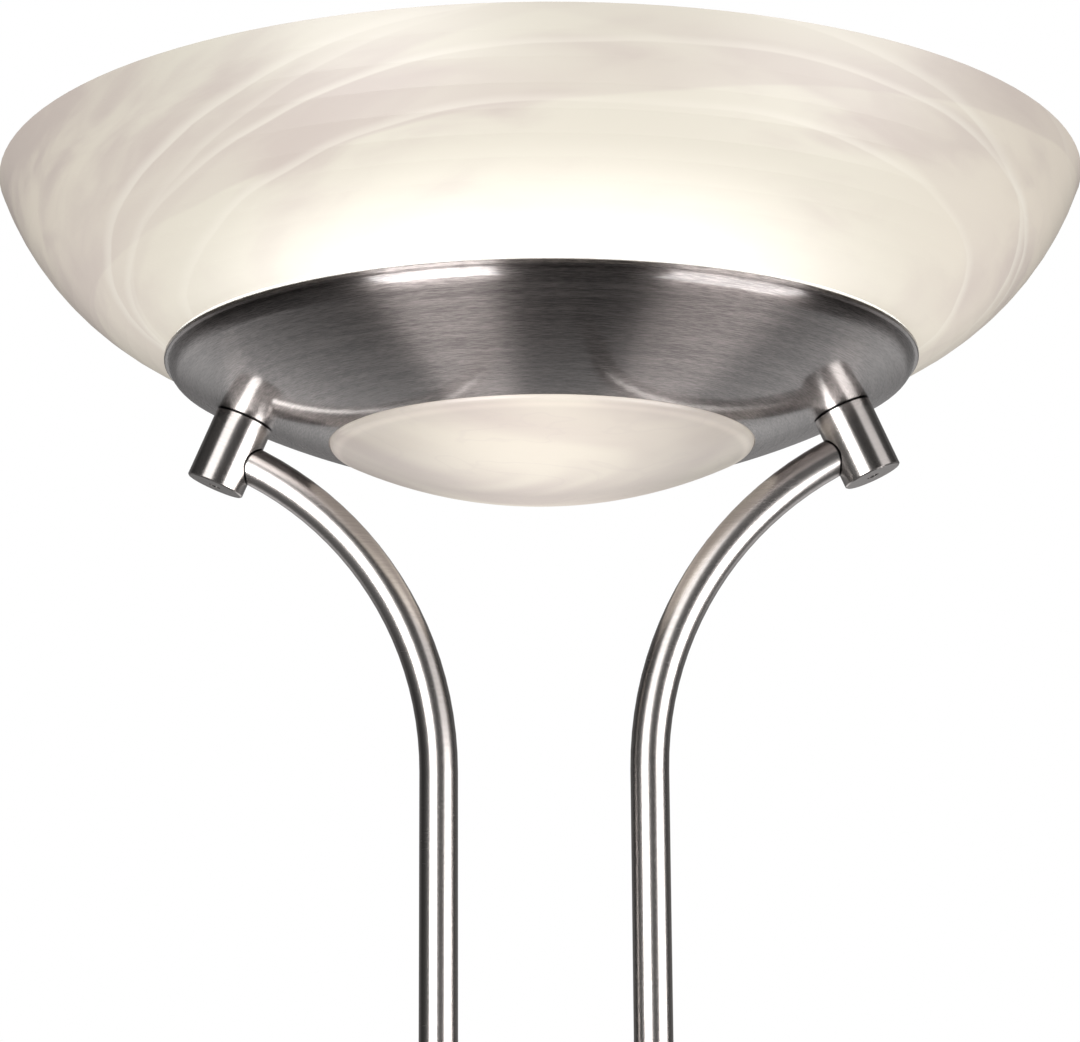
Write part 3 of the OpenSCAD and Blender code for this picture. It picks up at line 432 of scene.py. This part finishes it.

# Where the painted shade in the gaps fades out: off the knuckle's wall, and along it from the dish's
# wall.
TUBE_GAP_SHADE = (KNUCKLE_RADIUS + 0.35 * MM, KNUCKLE_RADIUS + 0.95 * MM)
DISH_GAP_SHADE = (DISH_RADIUS + 0.1 * MM, DISH_RADIUS + 0.5 * MM)


def round_and_along(paint, place):
    """Seamless coordinates for marks round the Z axis: the turn as a circle, the radius and height."""
    x, y, z = paint.parts(place)
    radius = paint.vector("LENGTH", paint.join(x, y, 0.0), output="Value")
    return paint.math("DIVIDE", x, radius), paint.math("DIVIDE", y, radius), radius, z


def brushed_round(name, tint, dark, roughness, streak, turn_scale, axis="Z", stretch=0.55, coat=0.0):
    """Nickel brushed round an axis. Its fine rings are closer together with a larger streak, and
    broken into shorter marks with a larger turn_scale."""
    paint = Paint(name)
    place = paint.place()
    if axis == "Y":
        x, y, z = paint.parts(place)
        place = paint.join(x, z, y)
    cos, sin, radius, z = round_and_along(paint, place)
    across = paint.math("ADD", radius, z)
    ring = paint.join(
        paint.math("MULTIPLY", cos, turn_scale),
        paint.math("MULTIPLY", sin, turn_scale),
        paint.math("MULTIPLY", across, streak),
    )
    fine = paint.noise(ring, 1.0, 3, 0.72)
    broad = paint.noise(ring, 0.12, 2, 0.5)
    both = paint.blend(fine, broad, 0.75)
    paint.set("Base Color", paint.mix(paint.spread(both, 0.36, 0.66), dark, tint))
    paint.set("Metallic", 1.0)
    paint.set("Roughness", paint.spread(both, 0.3, 0.7, roughness + 0.04, roughness - 0.03))
    paint.set("Anisotropic", stretch)
    paint.set("Anisotropic Rotation", BRUSHING_TURN)
    paint.set("Tangent", paint.node("Tangent", direction_type="RADIAL", axis=axis))
    paint.set("Normal", paint.bump(both, 0.006 * MM, 0.5))
    if coat > 0:
        paint.set("Coat Weight", coat)
        paint.set("Coat Roughness", COAT_ROUGHNESS)
        paint.set("Coat IOR", COAT_IOR)
    return paint.material


def along_knuckle(paint, place):
    """Distance from the middle of the dish's ball along the axis of the nearer knuckle, and off it."""
    x, y, z = paint.parts(paint.vector("SUBTRACT", place, (0, 0, DISH_CENTRE_Z)))
    folded = paint.join(paint.math("ABSOLUTE", x), y, z)
    axis = (math.sin(KNUCKLE_LEAN), 0, -math.cos(KNUCKLE_LEAN))
    along = paint.vector("DOT_PRODUCT", folded, axis, output="Value")
    off = paint.vector("LENGTH", paint.vector("CROSS_PRODUCT", folded, axis), output="Value")
    return along, off


def level_brushed(name, tint, dark, roughness):
    """Nickel with faint level marks, and painted shade in the gap where a tube enters its knuckle."""
    paint = Paint(name)
    place = paint.place()
    marks = paint.noise(paint.scaled(place, (60, 60, 3200)), 1.0, 2, 0.6)
    cloud = paint.noise(paint.scaled(place, (20, 20, 12)), 1.0, 2, 0.5)
    both = paint.blend(marks, cloud, 0.6)
    metal = paint.mix(paint.spread(both, 0.3, 0.7), dark, tint)
    off = along_knuckle(paint, place)[1]
    # Painted shade in the gap round the tube where it enters the knuckle.
    gap_shade = paint.spread(off, *TUBE_GAP_SHADE)
    paint.set("Base Color", paint.mix(gap_shade, GAP_SHADE_BLACK, metal))
    paint.set("Metallic", 1.0)
    paint.set("Roughness", paint.spread(both, 0.3, 0.7, roughness + 0.02, roughness - 0.02))
    paint.set("Normal", paint.bump(marks, 0.003 * MM, 0.3))
    return paint.material


def turned_knuckle(name, tint, dark, roughness):
    """Nickel with fine rings square to the leaning knuckle's own axis, and painted shade where it meets
    the dish.
    """
    paint = Paint(name)
    place = paint.place()
    along = along_knuckle(paint, place)[0]
    rings = paint.noise(paint.join(0.0, 0.0, paint.math("MULTIPLY", along, 2200)), 1.0, 2, 0.6)
    cloud = paint.noise(place, 70, 2)
    both = paint.blend(rings, cloud, 0.75)
    metal = paint.mix(paint.spread(both, 0.3, 0.7), dark, tint)
    # Painted shade along the knuckle where it meets the dish.
    gap_shade = paint.spread(along, *DISH_GAP_SHADE)
    paint.set("Base Color", paint.mix(gap_shade, GAP_SHADE_BLACK, metal))
    paint.set("Metallic", 1.0)
    paint.set("Roughness", paint.spread(both, 0.3, 0.7, roughness + 0.03, roughness - 0.03))
    paint.set("Normal", paint.bump(rings, 0.005 * MM, 0.4))
    return paint.material


# ---- Alabaster glass ----

CREAM = (0.80, 0.748, 0.632)
SIDE_CREAM = (0.82, 0.735, 0.620)
PALE = (0.96, 0.91, 0.80)
GREY_PINK = (0.650, 0.560, 0.500)
WHITE_HOT = (1.0, 0.965, 0.89)
LENS_CREAM = (0.80, 0.728, 0.622)
LENS_PINK = (0.66, 0.575, 0.515)
LENS_SWIRL = (0.58, 0.50, 0.47)

# Glow gives the glass most of its look, so its own colour is mostly this dark one.
GLASS_BODY = (0.05, 0.05, 0.05)
BODY_SHARE = 0.82

# The bowl's glow weakens along this direction, in which Y counts as positive in front and behind.
BOWL_GLOW_AXIS = (-0.01, -0.136, 0.99)

# Strength of the bowl's glow low and high on it, and what is added just above the dish.
BOWL_GLOW_LOW = 0.575
BOWL_GLOW_HIGH = 0.39
BOWL_GLOW_HOT = 0.50

# On the lens, from its middle: the spot in front where the pattern turns paler, painted light where the
# glow shows, the middle of the glow in front and the same one behind, how the glow is stretched, and the
# radius of the bright rim.
LENS_LIT_SPOT = (14 * MM, -50 * MM, 0)
LENS_GLOW_Y = 56 * MM
LENS_GLOW_STRETCH = (0.95, 0.7, 1)
LENS_RIM_RADIUS = 86 * MM

# Strength of the lens's glow in the middle of the glow and away from it.
LENS_GLOW_NEAR = 0.79
LENS_GLOW_FAR = 0.37

# The bowl's strokes lie in leaning layers: the layers' normal, how far they are warped, the
# strokes' scale along the layers and across them, and a shift that picks the strokes' places.
LAYER_NORMAL = (-0.1, 0.2, 0.975)
LAYER_WARP = 11 * MM
STROKE_ALONG = 6.0
STROKE_ACROSS = 34.0
STROKE_SHIFT = 5.1

# Veins of the bowl's glass lie in gently warped leaning planes. Each has its plane's normal, its
# distance from the middle of the lens's plane, its thin side, its fading side and its strength.
BRIGHT_VEINS = (
    ((-0.067, 0.287, 0.956), 35.4, 0.6, 3.0, 0.50),
    ((-0.065, 0.232, 0.970), 24.1, 0.5, 2.0, 0.42),
    ((-0.084, 0.226, 0.971), 39.3, 0.6, 2.0, 0.50),
    ((-0.150, 0.240, 0.960), 47.0, 0.6, 2.5, 0.25),
)
DARK_VEINS = (
    ((-0.122, 0.007, 0.992), 73.1, 1.2, 26, 0.75),
    ((-0.200, 0.160, 0.967), 62.0, 2.0, 18, 0.50),
    ((0.110, 0.200, 0.973), 58.0, 2.5, 20, 0.45),
)


def vein(paint, place, warp, normal, offset, thin, fading):
    """A sheet in the glass: sharp on its lower side and fading out on its upper side."""
    across = paint.vector("DOT_PRODUCT", place, normal, output="Value")
    across = paint.math("ADD", paint.math("SUBTRACT", across, offset * MM), warp)
    lower = paint.spread(across, -thin * MM, 0.0)
    upper = paint.spread(across, 0.0, fading * MM, 1.0, 0.0)
    return paint.math("MULTIPLY", lower, upper)


def veined_glass(paint, place):
    """Cream glass with long strokes of grey-pink that follow the veins' planes."""
    warp = paint.math(
        "MULTIPLY", paint.math("SUBTRACT", paint.noise(place, 7, 2.0), 0.5), LAYER_WARP)
    lift = paint.vector("DOT_PRODUCT", place, LAYER_NORMAL, output="Value")
    x, y, z = paint.parts(place)
    strokes = paint.join(
        paint.math("ADD", paint.math("MULTIPLY", x, STROKE_ALONG), STROKE_SHIFT),
        paint.math("MULTIPLY", y, STROKE_ALONG),
        paint.math("MULTIPLY", paint.math("ADD", lift, warp), STROKE_ACROSS),
    )
    broad = paint.noise(strokes, 1.0, 2.5, 0.5, 0.4)
    fine = paint.noise(strokes, 3.1, 3.0, 0.55, 0.5)
    tone = paint.blend(broad, fine, 0.7)
    clouded = paint.math(
        "MULTIPLY", paint.spread(tone, 0.44, 0.62), paint.spread(z, 30 * MM, 75 * MM, 0.4, 1.0))
    sideways = paint.spread(paint.math("ABSOLUTE", x), 110 * MM, 215 * MM)
    colour = paint.mix(clouded, paint.mix(sideways, CREAM, SIDE_CREAM), GREY_PINK)
    for veins, tint in ((DARK_VEINS, GREY_PINK), (BRIGHT_VEINS, PALE)):
        for normal, offset, thin, fading, strength in veins:
            mask = vein(paint, place, warp, normal, offset, thin, fading)
            patchy = paint.spread(broad, 0.30, 0.6, 0.3 * strength, strength)
            mask = paint.math("MULTIPLY", mask, patchy)
            colour = paint.mix(mask, colour, tint)
    return colour


def alabaster_bowl():
    """Veined glass that glows white above the dish and more weakly upwards and to the sides."""
    paint = Paint("alabaster_bowl")
    place = paint.vector("SUBTRACT", paint.place(), (0, 0, LENS_PLANE))
    pattern = veined_glass(paint, place)
    x, y, z = paint.parts(place)
    folded = paint.join(x, paint.math("ABSOLUTE", y), z)
    lift = paint.vector("DOT_PRODUCT", folded, BOWL_GLOW_AXIS, output="Value")
    low = paint.spread(lift, 8 * MM, 41 * MM, 1.0, 0.0)
    centred = paint.spread(paint.math("ABSOLUTE", x), 60 * MM, 172 * MM, 1.0, 0.05)
    hot = paint.math("MULTIPLY", low, centred)
    # The glow is up to a tenth stronger towards the right (+X), painted light on that side.
    rise = paint.math(
        "MULTIPLY",
        paint.spread(lift, 20 * MM, 85 * MM, BOWL_GLOW_LOW, BOWL_GLOW_HIGH),
        paint.spread(x, 60 * MM, 190 * MM, 1.0, 1.10))
    strength = paint.math("ADD", rise, paint.math("MULTIPLY", hot, BOWL_GLOW_HOT))
    # Where the bowl is seen edge-on its glow is dimmed, painted shade along its outline.
    edge = paint.node("LayerWeight", {"Blend": 0.5}, "Facing")
    paint.set("Base Color", paint.mix(BODY_SHARE, pattern, GLASS_BODY))
    paint.set("Emission Color", paint.mix(hot, pattern, WHITE_HOT))
    paint.set("Emission Strength", paint.math(
        "MULTIPLY", strength, paint.spread(edge, 0.72, 1.0, 1.0, 0.55)))
    paint.set("Roughness", 0.42)
    paint.set("IOR", 1.5)
    ripples = paint.noise(place, 35, 2)
    paint.set("Normal", paint.bump(ripples, 0.2 * MM, 0.2))
    return paint.material


def alabaster_lens():
    """Clouded and swirled glass with a glow in front and one behind, and a brighter rim."""
    paint = Paint("alabaster_lens")
    place = paint.vector("SUBTRACT", paint.place(), (0, 0, LENS_PLANE))
    x, y = paint.parts(place)[:2]
    flow = paint.scaled(place, (7, 12, 16))
    # The pattern is paler round a spot in front, painted light under the glow there.
    from_lit_spot = paint.vector("LENGTH", paint.vector("SUBTRACT", place, LENS_LIT_SPOT), output="Value")
    cloud = paint.math(
        "ADD",
        paint.noise(flow, 1.0, 2.5, 0.5, 1.2),
        paint.spread(from_lit_spot, 10 * MM, 80 * MM, -0.14, 0.05))
    swirl = paint.noise(flow, 1.9, 2.0, 0.5, 1.6)
    ridge = paint.math("ABSOLUTE", paint.math("SUBTRACT", swirl, 0.5))
    pattern = paint.mix(paint.spread(cloud, 0.40, 0.66), LENS_CREAM, LENS_PINK)
    pattern = paint.mix(paint.spread(ridge, 0.0, 0.03, 0.14, 0.0), pattern, LENS_SWIRL)
    radius = paint.vector("LENGTH", paint.join(x, y, 0.0), output="Value")
    aside = paint.math("SUBTRACT", paint.math("ABSOLUTE", y), LENS_GLOW_Y)
    away = paint.scaled(paint.join(x, aside, 0.0), LENS_GLOW_STRETCH)
    reach = paint.vector("LENGTH", away, output="Value")
    strength = paint.spread(reach, 5 * MM, 76 * MM, LENS_GLOW_NEAR, LENS_GLOW_FAR)
    from_rim = paint.math("ABSOLUTE", paint.math("SUBTRACT", radius, LENS_RIM_RADIUS))
    rim = paint.spread(from_rim, 0.0, 2.5 * MM, 0.10, 0.0)
    paint.set("Base Color", paint.mix(BODY_SHARE, pattern, GLASS_BODY))
    paint.set("Emission Color", pattern)
    paint.set("Emission Strength", paint.math("ADD", strength, rim))
    paint.set("Roughness", 0.35)
    paint.set("IOR", 1.5)
    return paint.material


# ---- Simple slots ----

def grained(name, tint, dark, roughness, scale, metallic=0.0, depth=0.03 * MM, **sockets):
    """A plain material with fine grain in its colour, roughness and relief."""
    paint = Paint(name)
    place = paint.place()
    grain = paint.noise(place, scale, 4, 0.6)
    blotch = paint.noise(place, scale / 12, 2, 0.5)
    both = paint.blend(grain, blotch, 0.6)
    paint.set("Base Color", paint.mix(paint.spread(both, 0.3, 0.7), dark, tint))
    paint.set("Metallic", metallic)
    paint.set("Roughness", paint.spread(both, 0.3, 0.7, roughness + 0.06, roughness - 0.05))
    paint.set("Normal", paint.bump(grain, depth, 0.6))
    for socket, value in sockets.items():
        paint.set(socket.replace("_", " "), value)
    return paint.material


def hot_filament():
    """Glowing tungsten, a little uneven along the coil."""
    paint = Paint("hot_filament")
    coil = paint.noise(paint.place(), 900, 2)
    paint.set("Base Color", (0.3, 0.28, 0.26))
    paint.set("Emission Color", (1.0, 0.72, 0.42))
    paint.set("Emission Strength", paint.spread(coil, 0.3, 0.7, 14.0, 22.0))
    return paint.material


def quartz():
    """Clear glass with a faint haze."""
    paint = Paint("quartz")
    haze = paint.noise(paint.place(), 120, 2)
    paint.set("Base Color", (0.97, 0.97, 0.97))
    paint.set("Transmission Weight", 0.9)
    paint.set("Roughness", paint.spread(haze, 0.3, 0.7, 0.04, 0.1))
    paint.set("IOR", 1.46)
    return paint.material


def make_materials():
    """Every slot's material, by the slot's name, and the lens's own."""
    return {
        "alabaster_glass": alabaster_bowl(),
        "lens": alabaster_lens(),
        "silicone": grained("silicone", (0.80, 0.80, 0.77), (0.70, 0.70, 0.68), 0.45, 400),
        "brushed_dish": brushed_round(
            "brushed_dish", DISH_NICKEL, DISH_NICKEL_DARK, 0.39, 2400, 24, stretch=1.0, coat=1.0),
        "brushed_knuckle": turned_knuckle("brushed_knuckle", NICKEL, NICKEL_DARK, 0.21),
        "brushed_tube": level_brushed("brushed_tube", NICKEL, NICKEL_DARK, 0.255),
        "brushed_housing": level_brushed(
            "brushed_housing", HOUSING_NICKEL, HOUSING_NICKEL_DARK, 0.5),
        "brushed_knob": brushed_round("brushed_knob", NICKEL, NICKEL_DARK, 0.36, 2400, 30, axis="Y"),
        "brushed_base": brushed_round("brushed_base", NICKEL, NICKEL_DARK, 0.30, 1500, 9),
        "spring_steel": grained("spring_steel", (0.28, 0.29, 0.32), (0.18, 0.19, 0.23), 0.35, 200, 1.0),
        "plated_steel": grained("plated_steel", (0.66, 0.66, 0.64), (0.52, 0.52, 0.51), 0.36, 180, 1.0),
        "plated_wire": grained("plated_wire", (0.74, 0.73, 0.71), (0.60, 0.59, 0.57), 0.22, 500, 1.0),
        "zinc_steel": grained("zinc_steel", (0.70, 0.70, 0.66), (0.55, 0.56, 0.54), 0.34, 350, 1.0),
        "black_steel": grained("black_steel", (0.035, 0.035, 0.038), (0.015, 0.015, 0.017), 0.6, 400),
        "ceramic": grained(
            "ceramic", (0.86, 0.83, 0.76), (0.76, 0.72, 0.64), 0.62, 320, depth=0.08 * MM),
        "quartz": quartz(),
        "contact_brass": grained("contact_brass", (0.72, 0.52, 0.24), (0.52, 0.36, 0.16), 0.3, 350, 1.0),
        "tungsten": hot_filament(),
        "wire_insulation": grained("wire_insulation", (0.80, 0.78, 0.72), (0.62, 0.60, 0.54), 0.8, 900),
        "moulded_plastic": grained("moulded_plastic", (0.05, 0.05, 0.055), (0.03, 0.03, 0.034), 0.5, 700),
        "cast_weight": grained(
            "cast_weight", (0.09, 0.09, 0.092), (0.05, 0.05, 0.052), 0.6, 120, depth=0.3 * MM),
        "felt": grained(
            "felt", (0.07, 0.07, 0.075), (0.025, 0.025, 0.028), 0.95, 900, depth=0.3 * MM,
            Sheen_Weight=0.4),
        "black_rubber": grained("black_rubber", (0.03, 0.03, 0.03), (0.015, 0.015, 0.015), 0.6, 500),
    }


def dress_frame(materials):
    """Gives each CAD node the material of its slot in the record, and the lens its own."""
    for part in frame["record"]["subparts"]:
        piece = NODES[part["node"]]
        name = "lens" if part["node"] == "lens_glass" else part["material_slot"]
        for slot in piece.material_slots:
            slot.material = materials[name]


MATERIALS = make_materials()
dress_frame(MATERIALS)
make_filament()
make_camera()
make_world()
keep_even(make_floor(), [softbox(*box) for box in SOFTBOXES])
make_glow()
bpy.context.scene.view_settings.view_transform = "Standard"
